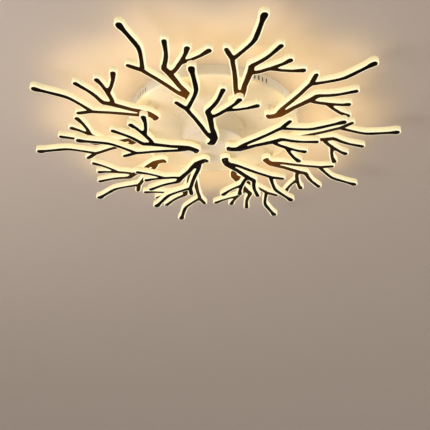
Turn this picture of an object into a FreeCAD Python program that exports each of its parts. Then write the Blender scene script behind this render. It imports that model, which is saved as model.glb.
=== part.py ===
import FreeCAD, Part
import math
import os

# Flush branch ceiling light.  +Z is up, the ceiling is the plane z = 0, the origin is the
# middle of the ceiling bracket and X runs along the bracket.  Millimetres.  A white drum
# canopy carries ten outer branch arms under its floor, and a smaller hub drum below it
# carries five inner ones.

# Heights, measured down from the ceiling to the underside of the lower screw heads and to
# the underside of the canopy floor.  The spacers set the tiers: under the canopy floor for
# the outer arms, and between the hub and the inner arms.
total_height = 120.0
canopy_depth = 35.0
outer_spacer_height = 23.5
inner_spacer_height = 6.3

# Canopy: a shallow pan of sheet steel, open towards the ceiling
canopy_radius = 242.0
canopy_edge_radius = 6.0
canopy_access_radius = 30.0
sheet_thickness = 1.2
wall_cutter_reach = 4.0

# Vent slots in the canopy wall, in four groups
vent_width = 4.0
vent_height = 16.0
vent_top_drop = 9.5
vent_pitch = 12.3
vents_per_group = 4
vent_group_angle = 42.0

# Hub: a drum with a closed bottom and a flange turned in at its top
hub_radius = 90.0
hub_edge_radius = 3.0
hub_flange_width = 16.0
hub_screw_inset = 9.0
hub_screw_count = 4
hub_screw_first_angle = 45.0

# Ceiling bracket: a steel bar whose two ends turn down inside the canopy wall
bracket_width = 30.0
bracket_thickness = 2.5
bracket_bend_radius = 2.5
bracket_tab_drop = 26.0
bracket_wall_gap = 0.4
bracket_slot_radius = 3.0
bracket_slot_length = 24.0
bracket_slot_spacing = 300.0
bracket_cable_hole_radius = 11.0
side_screw_drop = 17.0
side_screw_length = 9.0

# Arms: a face plate, the lit body on top of it and the light board in the body's groove
plate_thickness = 1.5
body_height = 15.0
body_overhang = 3.5
body_edge_chamfer = 1.0
groove_inset = 1.5
groove_depth = 5.0
board_inset = 2.5
board_thickness = 1.0
crotch_radius = 3.0

# Rings of arms, their root screws set in from the canopy's and the hub's wall.  Each arm is
# also turned a little about its root screw, as it was fitted.
outer_root_inset = 53.0
inner_root_inset = 42.0
arm_side_shift = 6.0
outer_first_angle = 11.4
inner_first_angle = -78.6
outer_arm_turns = [1.5, -1.0, -0.5, 0.5, -2.0, -2.5, -5.0, -1.0, 0.5, 1.0]
inner_arm_turns = [0.0, 2.0, 3.0, 1.5, -1.0]

# Fixing of an arm: a screw with a spacer at its root, and a hollow nipple for the lead
screw_radius = 2.0
screw_head_radius = 3.6
screw_head_height = 2.2
screw_socket_radius = 1.4
screw_socket_depth = 1.2
screw_tail = 1.5
hole_clearance = 0.3
thread_clearance = 0.1
screw_boss_radius = 4.0
spacer_radius = 5.0
nipple_x = 29.0
nipple_y = 7.0
nipple_radius = 4.0
nipple_bore_radius = 2.6
nipple_tail = 2.0
nipple_window_width = 3.0
nipple_window_height = 4.2
screw_nut_across_flats = 7.0
screw_nut_height = 3.2
nipple_nut_across_flats = 13.0
nipple_nut_height = 4.0

# Control gear on the canopy floor
driver_length = 170.0
driver_width = 46.0
driver_height = 24.0
driver_edge_radius = 3.0
driver_gap = 1.1
driver_tab_length = 12.0
driver_tab_width = 23.0
driver_tab_thickness = 2.0
terminal_length = 36.0
terminal_width = 18.0
terminal_height = 14.0
terminal_offset = 58.0
terminal_pole_count = 3
terminal_pole_radius = 2.5
terminal_pole_depth = 4.0
chassis_screw_length = 4.0
earth_screw_gap = 24.0

# Leads
lead_radius = 1.2
lead_start_gap = 5.0
lead_foot_bend = 1.8
lead_bend_radius = 8.0
lead_top_gap = 1.0
inner_lead_rise = 16.0
inner_lead_radius = 18.0
supply_lead_height = 7.0
earth_bend_radius = 3.0

# Nearer together than this, two levels are the same
same_level = 0.01

# One arm seen from above, with its root screw at the origin and +x away from the middle
# of the light.  Each limb is a row of stations: x, y and half the limb's width there.
stem = [(0.0, -5.0, 6.3), (1.0, 2.0, 8.6), (6.5, 3.5, 9.5), (16.5, 6.5, 9.6), (28.0, 7.0, 11.5)]
far_limb = [(28.0, 7.0, 11.5), (38.5, -4.5, 8.0), (47.5, -11.0, 6.6), (57.5, -16.0, 6.0),
            (88.5, -28.5, 6.0), (117.5, -41.5, 5.5), (147.0, -56.5, 5.7), (160.0, -62.0, 6.4)]
stub_twig = [(160.0, -62.0, 6.4), (178.0, -79.0, 6.5), (187.0, -87.0, 5.7)]
long_twig = [(160.0, -62.0, 6.4), (169.5, -57.5, 5.8), (194.0, -48.5, 4.9), (215.5, -41.5, 5.0),
             (229.0, -38.0, 5.3), (241.5, -36.5, 5.8), (259.5, -38.0, 6.1), (285.5, -41.5, 5.4),
             (303.5, -44.0, 5.9), (316.5, -46.0, 8.4), (321.5, -46.0, 8.4)]
near_limb = [(28.0, 7.0, 11.5), (54.0, 6.5, 7.4), (73.5, 2.0, 6.8), (101.0, -0.5, 7.3),
             (112.0, -2.0, 7.6), (127.0, -3.0, 8.5), (147.5, -8.5, 7.7)]
middle_twig = [(147.5, -8.5, 7.7), (155.0, -6.5, 6.8), (165.0, -0.5, 5.7), (174.5, 5.5, 5.8),
               (189.5, 13.0, 5.5), (203.5, 18.5, 5.0), (221.0, 23.5, 5.5), (240.0, 29.0, 6.5)]
lower_limb = [(127.0, -3.0, 8.5), (132.0, 10.5, 5.9), (139.0, 19.5, 5.6), (151.5, 32.0, 5.9),
              (156.5, 38.5, 6.5)]
short_twig = [(156.5, 38.5, 6.5), (175.5, 53.5, 4.8), (185.0, 61.5, 5.2), (195.5, 67.5, 6.6),
              (200.0, 70.5, 7.1)]
last_twig = [(156.5, 38.5, 6.5), (159.0, 66.0, 4.6), (165.5, 91.5, 4.8), (173.0, 109.0, 6.5),
             (176.0, 116.0, 7.1)]
limbs = [stem, far_limb, stub_twig, long_twig, near_limb, middle_twig, lower_limb, short_twig,
         last_twig]

# Levels and places that follow from the sizes above
arm_thickness = plate_thickness + body_height
canopy_floor = -canopy_depth + sheet_thickness
outer_tier = -canopy_depth - outer_spacer_height - arm_thickness
inner_tier = -total_height + screw_head_height
hub_bottom = inner_tier + arm_thickness + inner_spacer_height
hub_floor = hub_bottom + sheet_thickness
outer_root_radius = canopy_radius - outer_root_inset
inner_root_radius = hub_radius - inner_root_inset
hub_screw_radius = hub_radius - hub_screw_inset
hub_screw_spread = hub_screw_radius * math.sin(math.radians(hub_screw_first_angle))
driver_offset = hub_screw_spread + screw_head_radius + driver_gap + driver_width / 2
screw_hole = screw_radius + hole_clearance
nipple_hole = nipple_radius + hole_clearance

origin = FreeCAD.Vector(0, 0, 0)
up = FreeCAD.Vector(0, 0, 1)


def vec(x, y, z=0.0):
    return FreeCAD.Vector(x, y, z)


def polar(radius, degrees, z=0.0):
    angle = math.radians(degrees)
    return vec(radius * math.cos(angle), radius * math.sin(angle), z)


def cylinder(radius, bottom, top, x=0.0, y=0.0):
    return Part.makeCylinder(radius, top - bottom, vec(x, y, bottom))


def tube(outer, inner, bottom, top, x=0.0, y=0.0):
    return cylinder(outer, bottom, top, x, y).cut(cylinder(inner, bottom, top, x, y))


def box(length, width, bottom, top, x=0.0, y=0.0):
    corner = vec(x - length / 2, y - width / 2, bottom)
    return Part.makeBox(length, width, top - bottom, corner)


def turned(shape, degrees):
    copy = shape.copy()
    copy.rotate(origin, up, degrees)
    return copy


def moved(shape, x, y, z=0.0):
    copy = shape.copy()
    copy.translate(vec(x, y, z))
    return copy


def revolved(edges):
    """Solid swept about Z from the closed edges of its section in the XZ plane."""
    return Part.Face(Part.Wire(edges)).revolve(origin, up, 360)


def save(name, shapes):
    if not isinstance(shapes, list):
        shapes = [shapes]
    body = shapes[0] if len(shapes) == 1 else Part.makeCompound(shapes)
    body.exportStep("parts/" + name + ".step")
    print("%-24s %3d solids %9.0f mm3" % (name, len(body.Solids), body.Volume))


# Arm: outlines


def limb_piece(start, end):
    """Flat face round two stations: both circles and the strip between their tangents."""
    x1, y1, r1 = start
    x2, y2, r2 = end
    heading = math.atan2(y2 - y1, x2 - x1)
    lean = math.acos((r1 - r2) / math.hypot(x2 - x1, y2 - y1))

    def rim(x, y, radius, angle):
        return vec(x + radius * math.cos(angle), y + radius * math.sin(angle))

    left1 = rim(x1, y1, r1, heading + lean)
    left2 = rim(x2, y2, r2, heading + lean)
    right1 = rim(x1, y1, r1, heading - lean)
    right2 = rim(x2, y2, r2, heading - lean)
    back = rim(x1, y1, r1, heading + math.pi)
    front = rim(x2, y2, r2, heading)
    edges = [Part.Arc(left1, back, right1).toShape(), Part.makeLine(right1, right2),
             Part.Arc(right2, front, left2).toShape(), Part.makeLine(left2, left1)]
    return Part.Face(Part.Wire(edges))


def arm_outline():
    """One closed wire round the whole arm, with its crotches rounded."""
    pieces = [limb_piece(a, b) for limb in limbs for a, b in zip(limb, limb[1:])]
    face = pieces[0].multiFuse(pieces[1:]).removeSplitter().Faces[0]
    return face.OuterWire.makeOffset2D(crotch_radius).makeOffset2D(-crotch_radius)


def slab(wire, bottom, top):
    return moved(Part.Face(wire), 0, 0, bottom).extrude(vec(0, 0, top - bottom))


# Arm: pieces, built at the root screw with the plate's underside at z = 0


def make_plate(outline):
    return slab(outline, 0, plate_thickness).cut(cylinder(screw_hole, 0, plate_thickness))


def make_body(outline):
    bottom = plate_thickness
    top = arm_thickness
    body = slab(outline.makeOffset2D(body_overhang), bottom, top)
    rim = [edge for edge in body.Edges if edge.BoundBox.ZMin > top - body_edge_chamfer]
    body = body.makeChamfer(body_edge_chamfer, rim)
    groove = slab(outline.makeOffset2D(-groove_inset), bottom, bottom + groove_depth)
    groove = groove.cut(cylinder(screw_boss_radius, bottom, top))
    nipple_way = cylinder(nipple_hole, bottom, top, nipple_x, nipple_y)
    return body.cut([groove, cylinder(screw_hole, bottom, top), nipple_way])


def make_board(outline):
    bottom = plate_thickness
    top = bottom + board_thickness
    board = slab(outline.makeOffset2D(-board_inset), bottom, top)
    boss_way = cylinder(screw_boss_radius + hole_clearance, bottom, top)
    nipple_way = cylinder(nipple_hole, bottom, top, nipple_x, nipple_y)
    return board.cut([boss_way, nipple_way])


def make_screw(length):
    """Socket head screw, head down, its bearing face at z = 0 and its shank going up."""
    head = cylinder(screw_head_radius, -screw_head_height, 0)
    socket = cylinder(screw_socket_radius, -screw_head_height,
                      screw_socket_depth - screw_head_height)
    return head.fuse(cylinder(screw_radius, 0, length)).cut(socket)


def make_nut(across_flats, height, bore_radius):
    corner_radius = across_flats / 2 / math.cos(math.pi / 6)
    corners = [polar(corner_radius, 60 * i) for i in range(7)]
    return slab(Part.makePolygon(corners), 0, height).cut(cylinder(bore_radius, 0, height))


def make_nipple(top):
    """Hollow threaded tube standing on the plate, with a window for the lead at its foot."""
    foot = plate_thickness
    pipe = tube(nipple_radius, nipple_bore_radius, foot, top)
    window = box(nipple_radius * 2, nipple_window_width, foot, foot + nipple_window_height,
                 x=nipple_radius)
    return pipe.cut(window)


def routed(points, radii):
    """Lead of round section through the points, with an arc of each radius at each turn."""
    edges = []
    start = points[0]
    for before, corner, after, radius in zip(points, points[1:], points[2:], radii):
        way_in = (corner - before).normalize()
        way_out = (after - corner).normalize()
        reach = radius * math.tan(way_in.getAngle(way_out) / 2)
        first = corner - way_in * reach
        last = corner + way_out * reach
        middle_way = (way_out - way_in).normalize()
        centre = corner + middle_way * math.hypot(radius, reach)
        edges += [Part.makeLine(start, first),
                  Part.Arc(first, centre - middle_way * radius, last).toShape()]
        start = last
    edges.append(Part.makeLine(start, points[-1]))
    path = Part.Wire(edges)
    circle = Part.makeCircle(lead_radius, points[0], points[1] - points[0])
    return path.makePipeShell([Part.Wire(circle)], True, False)


# Rings of arms


def place_arm(shape, ring_radius, seat, level):
    ring_angle, own_turn = seat
    at_root = moved(turned(shape, own_turn), ring_radius, -arm_side_shift, level)
    return turned(at_root, ring_angle)


def ring_angles(count, first):
    return [first + i * 360.0 / count for i in range(count)]


def ring_seats(first, turns):
    """Ring angle and own turn of each arm."""
    return list(zip(ring_angles(len(turns), first), turns))


def tiers():
    """Name, root radius, plate level, level of the sheet that carries the arm, seats."""
    outer_seats = ring_seats(outer_first_angle, outer_arm_turns)
    inner_seats = ring_seats(inner_first_angle, inner_arm_turns)
    return [("outer", outer_root_radius, outer_tier, -canopy_depth, outer_seats),
            ("inner", inner_root_radius, inner_tier, hub_bottom, inner_seats)]


def arm_holes(tier):
    """Cutters for the root screws and nipples of one tier, through its carrying sheet."""
    name, radius, level, sheet, seats = tier
    top = sheet + sheet_thickness
    cutters = [cylinder(screw_hole, sheet, top),
               cylinder(nipple_hole, sheet, top, nipple_x, nipple_y)]
    return [place_arm(cutter, radius, seat, 0) for seat in seats for cutter in cutters]


def arm_fixings(tier):
    """Screws, spacers, screw nuts, nipples and nipple nuts of one tier."""
    name, radius, level, sheet, seats = tier
    body_top = level + arm_thickness
    floor = sheet + sheet_thickness
    screw = moved(make_screw(floor + screw_nut_height + screw_tail - level), 0, 0, level)
    spacer = tube(spacer_radius, screw_hole, body_top, sheet)
    screw_nut = moved(make_nut(screw_nut_across_flats, screw_nut_height,
                               screw_radius + thread_clearance), 0, 0, floor)
    nipple_top = floor + nipple_nut_height + nipple_tail
    nipple = moved(make_nipple(nipple_top - level), nipple_x, nipple_y, level)
    nipple_nut = make_nut(nipple_nut_across_flats, nipple_nut_height,
                          nipple_radius + thread_clearance)
    nipple_nuts = [moved(nipple_nut, nipple_x, nipple_y, floor),
                   moved(nipple_nut, nipple_x, nipple_y, sheet - nipple_nut_height)]
    groups = [[screw], [spacer], [screw_nut], [nipple], nipple_nuts]
    return [[place_arm(shape, radius, seat, 0) for seat in seats for shape in group]
            for group in groups]


# Canopy, hub and bracket


def radial_slot(radius, length, width, middle):
    """Cutter for an upright slot with round ends in a wall of this radius, on +X."""
    inside = radius - wall_cutter_reach
    half = (length - width) / 2
    cutter = Part.makeBox(2 * wall_cutter_reach, width, 2 * half,
                          vec(inside, -width / 2, middle - half))
    for z in (middle - half, middle + half):
        end = Part.makeCylinder(width / 2, 2 * wall_cutter_reach, vec(inside, 0, z), vec(1, 0, 0))
        cutter = cutter.fuse(end)
    return cutter


def vent_angles():
    """Vent groups lie each side of the Y axis, on both sides of the bracket."""
    step = math.degrees(vent_pitch / canopy_radius)
    middle = (vents_per_group - 1) / 2
    groups = [square + side * vent_group_angle for square in (90, -90) for side in (-1, 1)]
    return [group + (i - middle) * step for group in groups for i in range(vents_per_group)]


def pan_profile(radius, edge_radius, bottom, top, hole_radius):
    """Section of a round pan of sheet, with a rounded outer edge and a hole in its floor."""
    bend = edge_radius * (1 - math.cos(math.pi / 4))
    inner_radius = radius - sheet_thickness
    floor = bottom + sheet_thickness
    inner_bend = sheet_thickness + (edge_radius - sheet_thickness) * (1 - math.cos(math.pi / 4))
    bend_r = radius - edge_radius
    bend_z = bottom + edge_radius
    outer_arc = Part.Arc(vec(bend_r, 0, bottom), vec(radius - bend, 0, bottom + bend),
                         vec(radius, 0, bend_z))
    inner_arc = Part.Arc(vec(inner_radius, 0, bend_z),
                         vec(radius - inner_bend, 0, bottom + inner_bend),
                         vec(bend_r, 0, floor))
    return [Part.makeLine(vec(hole_radius, 0, bottom), vec(bend_r, 0, bottom)),
            outer_arc.toShape(),
            Part.makeLine(vec(radius, 0, bend_z), vec(radius, 0, top)),
            Part.makeLine(vec(radius, 0, top), vec(inner_radius, 0, top)),
            Part.makeLine(vec(inner_radius, 0, top), vec(inner_radius, 0, bend_z)),
            inner_arc.toShape(),
            Part.makeLine(vec(bend_r, 0, floor), vec(hole_radius, 0, floor)),
            Part.makeLine(vec(hole_radius, 0, floor), vec(hole_radius, 0, bottom))]


def hub_screw_spots():
    angles = ring_angles(hub_screw_count, hub_screw_first_angle)
    return [polar(hub_screw_radius, angle) for angle in angles]


def driver_screw_spots():
    x = driver_length / 2 + driver_tab_length / 2
    return [vec(sx * x, sy * driver_offset) for sx in (-1, 1) for sy in (-1, 1)]


def earth_screw_spot():
    return vec(terminal_offset + terminal_width / 2 + earth_screw_gap, 0)


def side_screw_way(radius, start, end):
    """Round bar through both ends of the bracket at the height of the side screws."""
    return [Part.makeCylinder(radius, end - start, vec(side * start, 0, -side_screw_drop),
                              vec(side, 0, 0)) for side in (-1, 1)]


def make_canopy(tier):
    pan = revolved(pan_profile(canopy_radius, canopy_edge_radius, -canopy_depth, 0,
                               canopy_access_radius))
    slot_middle = -vent_top_drop - vent_height / 2
    vent = radial_slot(canopy_radius - sheet_thickness / 2, vent_height, vent_width, slot_middle)
    cutters = [turned(vent, angle) for angle in vent_angles()] + arm_holes(tier)
    spots = hub_screw_spots() + driver_screw_spots() + [earth_screw_spot()]
    cutters += [cylinder(screw_hole, -canopy_depth, canopy_floor, spot.x, spot.y)
                for spot in spots]
    cutters += side_screw_way(screw_hole, canopy_radius - wall_cutter_reach,
                              canopy_radius + wall_cutter_reach)
    return pan.cut(cutters)


def make_hub(tier):
    rim_top = -canopy_depth
    cup = revolved(pan_profile(hub_radius, hub_edge_radius, hub_bottom, rim_top, 0.0))
    flange = tube(hub_radius, hub_radius - hub_flange_width, rim_top - sheet_thickness, rim_top)
    holes = [cylinder(screw_hole, rim_top - sheet_thickness, rim_top, spot.x, spot.y)
             for spot in hub_screw_spots()]
    return cup.fuse(flange).cut(arm_holes(tier) + holes)


def tab_face():
    """Distance from the middle to the outer face of a bracket tab, inside the round wall."""
    wall = canopy_radius - sheet_thickness
    return math.sqrt(wall ** 2 - (bracket_width / 2) ** 2) - bracket_wall_gap


def make_bracket():
    reach = tab_face()
    bar = box(2 * reach, bracket_width, -bracket_thickness, 0)
    for side in (-1, 1):
        bar = bar.fuse(box(bracket_thickness, bracket_width, -bracket_tab_drop, 0,
                           x=side * (reach - bracket_thickness / 2)))
    bar = bar.removeSplitter()
    corners = [edge for edge in bar.Edges if edge.CenterOfMass.z > -same_level
               and abs(abs(edge.CenterOfMass.x) - reach) < same_level]
    bar = bar.makeFillet(bracket_bend_radius, corners)
    straight = bracket_slot_length - 2 * bracket_slot_radius
    cutters = [cylinder(bracket_cable_hole_radius, -bracket_thickness, 0)]
    for side in (-1, 1):
        x = side * bracket_slot_spacing / 2
        cutters.append(box(straight, 2 * bracket_slot_radius, -bracket_thickness, 0, x=x))
        for end in (-1, 1):
            cutters.append(cylinder(bracket_slot_radius, -bracket_thickness, 0,
                                    x + end * straight / 2))
    cutters += side_screw_way(screw_radius + thread_clearance, reach - wall_cutter_reach,
                              reach)
    return bar.cut(cutters)


def make_side_screws():
    """Screws through the canopy wall into the bracket's tabs."""
    screw = make_screw(side_screw_length)
    screws = []
    for side, turn in ((1, -90), (-1, 90)):
        copy = screw.copy()
        copy.rotate(origin, vec(0, 1, 0), turn)
        screws.append(moved(copy, side * canopy_radius, 0, -side_screw_drop))
    return screws


# Control gear and leads


def make_driver(side):
    middle = side * driver_offset
    top = canopy_floor + driver_height
    case = box(driver_length, driver_width, canopy_floor, top, y=middle)
    upright = [edge for edge in case.Edges if edge.BoundBox.ZLength > driver_height / 2]
    case = case.makeFillet(driver_edge_radius, upright)
    tab_top = canopy_floor + driver_tab_thickness
    tabs = box(driver_length + 2 * driver_tab_length, driver_tab_width, canopy_floor, tab_top,
               y=middle)
    holes = [cylinder(screw_hole, canopy_floor, tab_top, spot.x, spot.y)
             for spot in driver_screw_spots() if spot.y * side > 0]
    return case.fuse(tabs).removeSplitter().cut(holes)


def make_terminal():
    block = box(terminal_width, terminal_length, canopy_floor, canopy_floor + terminal_height,
                x=terminal_offset)
    pitch = terminal_length / terminal_pole_count
    top = canopy_floor + terminal_height
    for i in range(terminal_pole_count):
        y = (i - (terminal_pole_count - 1) / 2) * pitch
        block = block.cut(cylinder(terminal_pole_radius, top - terminal_pole_depth, top,
                                   terminal_offset, y))
    return block


def make_chassis_screws():
    """Identical screws: hub flange, driver tabs and earth, driven down from inside."""
    screw = make_screw(chassis_screw_length)
    screw.rotate(origin, vec(1, 0, 0), 180)
    screws = [moved(screw, spot.x, spot.y, canopy_floor)
              for spot in hub_screw_spots() + [earth_screw_spot()]]
    screws += [moved(screw, spot.x, spot.y, canopy_floor + driver_tab_thickness)
               for spot in driver_screw_spots()]
    return screws


def lead_foot(radius, seat, level):
    """First two points of an arm's lead: on the light board and under its nipple."""
    board_top = level + plate_thickness + board_thickness
    z = board_top + lead_radius
    start = place_arm(Part.Vertex(nipple_x + nipple_radius + lead_start_gap, nipple_y, z),
                      radius, seat, 0).Point
    turn = place_arm(Part.Vertex(nipple_x, nipple_y, z), radius, seat, 0).Point
    return start, turn


def make_arm_leads(drivers):
    """Each lead rises through its nipple and runs level to the driver on its side."""
    leads = []
    level_up = canopy_floor + nipple_nut_height + nipple_tail + lead_bend_radius + lead_top_gap
    for name, radius, level, sheet, seats in tiers():
        for seat in seats:
            start, turn = lead_foot(radius, seat, level)
            side = 1 if turn.y > 0 else -1
            if name == "outer":
                points = [start, turn, vec(turn.x, turn.y, level_up),
                          vec(0, side * driver_offset, level_up)]
            else:
                low = hub_floor + nipple_nut_height + nipple_tail + inner_lead_rise
                inward = polar(inner_lead_radius, math.degrees(math.atan2(turn.y, turn.x)))
                points = [start, turn, vec(turn.x, turn.y, low), vec(inward.x, inward.y, low),
                          vec(inward.x, inward.y, level_up),
                          vec(inward.x, side * driver_offset, level_up)]
            radii = [lead_foot_bend] + [lead_bend_radius] * (len(points) - 3)
            leads.append(routed(points, radii).cut(drivers))
    return leads


def make_supply_leads():
    """A lead from the terminal block to each driver, and one to the earth screw."""
    z = canopy_floor + supply_lead_height
    leads = []
    for side in (-1, 1):
        start = terminal_length / 2
        end = driver_offset - driver_width / 2
        leads.append(Part.makeCylinder(lead_radius, end - start,
                                       vec(terminal_offset, side * start, z), vec(0, side, 0)))
    spot = earth_screw_spot()
    head_top = canopy_floor + screw_head_height
    points = [vec(terminal_offset + terminal_width / 2, 0, z), vec(spot.x, 0, z),
              vec(spot.x, 0, head_top)]
    leads.append(routed(points, [earth_bend_radius]))
    return leads


def main():
    os.makedirs("parts", exist_ok=True)
    outline = arm_outline()
    kinds = [("face_plate", make_plate(outline)), ("acrylic_body", make_body(outline)),
             ("light_board", make_board(outline))]
    outer, inner = tiers()
    for name, radius, level, sheet, seats in (outer, inner):
        for number, seat in enumerate(seats, start=1):
            for kind, shape in kinds:
                save("%s_%s_%02d" % (name, kind, number), place_arm(shape, radius, seat, level))
    fixing_names = ["arm_root_screws", "arm_spacers", "arm_root_nuts", "arm_nipples",
                    "nipple_locknuts"]
    for name, far, near in zip(fixing_names, arm_fixings(outer), arm_fixings(inner)):
        save(name, far + near)
    save("canopy_shell", make_canopy(outer))
    save("hub_drum", make_hub(inner))
    save("ceiling_bracket", make_bracket())
    save("bracket_side_screws", make_side_screws())
    save("chassis_screws", make_chassis_screws())
    drivers = [make_driver(side) for side in (-1, 1)]
    save("driver_near", drivers[0])
    save("driver_far", drivers[1])
    save("terminal_block", make_terminal())
    save("arm_leads", make_arm_leads(drivers))
    save("supply_leads", make_supply_leads())


main()
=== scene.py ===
import bpy
import math
from mathutils import Matrix, Vector


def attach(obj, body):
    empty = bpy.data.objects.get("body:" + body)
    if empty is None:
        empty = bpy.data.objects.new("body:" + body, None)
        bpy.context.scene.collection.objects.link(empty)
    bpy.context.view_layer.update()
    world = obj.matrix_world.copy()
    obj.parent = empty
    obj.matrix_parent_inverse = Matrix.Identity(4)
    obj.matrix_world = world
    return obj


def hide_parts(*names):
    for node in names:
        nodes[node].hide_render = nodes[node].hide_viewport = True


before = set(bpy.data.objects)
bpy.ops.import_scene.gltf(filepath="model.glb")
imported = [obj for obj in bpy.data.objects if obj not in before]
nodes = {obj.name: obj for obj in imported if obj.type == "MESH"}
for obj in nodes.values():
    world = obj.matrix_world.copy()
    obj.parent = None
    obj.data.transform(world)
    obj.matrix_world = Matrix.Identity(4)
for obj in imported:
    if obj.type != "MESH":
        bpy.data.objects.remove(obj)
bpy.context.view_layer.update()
scene = bpy.context.scene
print("frame loaded with", len(nodes), "nodes")


# Where the arms sit: root screws on two rings, each arm turned a little about its own screw

arms = {
    "outer": {"ring": 0.189, "level": -0.075, "firstAngle": 11.4,
              "ownTurns": [1.5, -1.0, -0.5, 0.5, -2.0, -2.5, -5.0, -1.0, 0.5, 1.0]},
    "inner": {"ring": 0.048, "level": -0.1178, "firstAngle": -78.6,
              "ownTurns": [0.0, 2.0, 3.0, 1.5, -1.0]},
    "sideShift": 0.006,
    "plateThickness": 0.0015,
    "bodyHeight": 0.015,
}


def armSeats(tier):
    spec = arms[tier]
    step = 360 / len(spec["ownTurns"])
    seats = []
    for number, ownTurn in enumerate(spec["ownTurns"]):
        ringAngle = math.radians(spec["firstAngle"] + step * number)
        fromMiddle = Vector((spec["ring"], -arms["sideShift"], spec["level"]))
        root = Matrix.Rotation(ringAngle, 3, "Z") @ fromMiddle
        seats.append((root, ringAngle + math.radians(ownTurn)))
    return seats


# Material building blocks


def newMaterial(name):
    material = bpy.data.materials.new(name)
    material.use_nodes = True
    tree = material.node_tree
    return material, tree, tree.nodes["Principled BSDF"]


def objectPlace(tree, stretch=(1, 1, 1)):
    place = tree.nodes.new("ShaderNodeTexCoord")
    mapping = tree.nodes.new("ShaderNodeMapping")
    mapping.inputs["Scale"].default_value = stretch
    tree.links.new(place.outputs["Object"], mapping.inputs["Vector"])
    return mapping.outputs["Vector"]


def grain(tree, perMetre, detail=2.0, stretch=(1, 1, 1)):
    noise = tree.nodes.new("ShaderNodeTexNoise")
    noise.inputs["Scale"].default_value = perMetre
    noise.inputs["Detail"].default_value = detail
    tree.links.new(objectPlace(tree, stretch), noise.inputs["Vector"])
    return noise.outputs["Fac"]


def remap(tree, value, low, high, fromLow=0.0, fromHigh=1.0):
    node = tree.nodes.new("ShaderNodeMapRange")
    node.inputs["From Min"].default_value = fromLow
    node.inputs["From Max"].default_value = fromHigh
    node.inputs["To Min"].default_value = low
    node.inputs["To Max"].default_value = high
    tree.links.new(value, node.inputs["Value"])
    return node.outputs["Result"]


def blendColours(tree, amount, first, second):
    node = tree.nodes.new("ShaderNodeMix")
    node.data_type = "RGBA"
    tree.links.new(amount, node.inputs["Factor"])
    for socket, colour in ((node.inputs["A"], first), (node.inputs["B"], second)):
        if isinstance(colour, tuple):
            socket.default_value = (*colour, 1)
        else:
            tree.links.new(colour, socket)
    return node.outputs["Result"]


def calculate(tree, operation, first, second):
    node = tree.nodes.new("ShaderNodeMath")
    node.operation = operation
    for socket, value in ((node.inputs[0], first), (node.inputs[1], second)):
        if isinstance(value, (int, float)):
            socket.default_value = value
        else:
            tree.links.new(value, socket)
    return node.outputs["Value"]


def bump(tree, shader, height, strength, depth):
    node = tree.nodes.new("ShaderNodeBump")
    node.inputs["Strength"].default_value = strength
    node.inputs["Distance"].default_value = depth
    tree.links.new(height, node.inputs["Height"])
    tree.links.new(node.outputs["Normal"], shader.inputs["Normal"])


def axisValue(tree, axis):
    split = tree.nodes.new("ShaderNodeSeparateXYZ")
    tree.links.new(objectPlace(tree), split.inputs["Vector"])
    return split.outputs[axis]


# Finishes

blackPlate = {
    "colour": (0.006, 0.0022, 0.0012),
    "warmPatch": (0.011, 0.0040, 0.0018),
    # painted light: warm brown at the outer plates' roots, standing for the inner arms' glow falling on
    # them
    "paintedGlowRoot": (0.105, 0.041, 0.0075),
    "paintedGlowFrom": 0.19, "paintedGlowTo": 0.42,      # distance from the light's middle over which the painted glow fades out
    "patchesPerMetre": 9, "patchRange": (0.35, 0.65),
    "satinPerMetre": 60, "roughness": (0.42, 0.56),
    "gloss": 0.035,
    "grainPerMetre": 1400, "grainStrength": 0.25, "grainDepth": 0.00002,
}


def distanceFromMiddle(tree):
    length = tree.nodes.new("ShaderNodeVectorMath")
    length.operation = "LENGTH"
    tree.links.new(objectPlace(tree, (1, 1, 0)), length.inputs[0])
    return length.outputs["Value"]


def satinBlackPaint(name, glowPaintedRoots):
    material, tree, shader = newMaterial(name)
    spread = grain(tree, blackPlate["patchesPerMetre"], detail=3)
    patches = remap(tree, spread, 0, 1, *blackPlate["patchRange"])
    colour = blendColours(tree, patches, blackPlate["colour"], blackPlate["warmPatch"])
    # painted light: the roots are tinted warm by distance from the middle, fading to plain black further
    # out
    if glowPaintedRoots:
        away = remap(tree, distanceFromMiddle(tree), 0, 1, blackPlate["paintedGlowFrom"], blackPlate["paintedGlowTo"])
        colour = blendColours(tree, away, blackPlate["paintedGlowRoot"], colour)
    tree.links.new(colour, shader.inputs["Base Color"])
    satin = remap(tree, grain(tree, blackPlate["satinPerMetre"], detail=4), *blackPlate["roughness"])
    tree.links.new(satin, shader.inputs["Roughness"])
    shader.inputs["Specular IOR Level"].default_value = blackPlate["gloss"]
    bump(tree, shader, grain(tree, blackPlate["grainPerMetre"]), blackPlate["grainStrength"],
         blackPlate["grainDepth"])
    return material


acrylic = {
    "nearPlate": (1.0, 0.925, 0.59),
    "farEdge": (1.0, 0.79, 0.36),
    "skin": (0.28, 0.22, 0.14),
    "strength": (0.98, 0.83),          # at the plate and at the top edge
    "ledPitch": 0.008, "ledJitter": 0.35, "ledGlimmer": 0.10, "ledSpread": (0.1, 0.6),
    "tipFade": 0.82, "tipStart": 0.008, "tipReach": 0.030, "tipHeight": 0.5,
    "ripplesPerMetre": 220, "roughness": (0.16, 0.28),
    "grainPerMetre": 500, "grainStrength": 0.15, "grainDepth": 0.00003,
    "tips": [(0.187, -0.087), (0.3215, -0.046), (0.240, 0.029), (0.200, 0.0705), (0.176, 0.116)],
}


def armPlace(tree, seat):
    root, turn = seat
    place = tree.nodes.new("ShaderNodeTexCoord")
    mapping = tree.nodes.new("ShaderNodeMapping")
    mapping.vector_type = "TEXTURE"            # takes the arm's own seat away again
    mapping.inputs["Location"].default_value = root
    mapping.inputs["Rotation"].default_value = (0, 0, turn)
    tree.links.new(place.outputs["Object"], mapping.inputs["Vector"])
    return mapping.outputs["Vector"]


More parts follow.
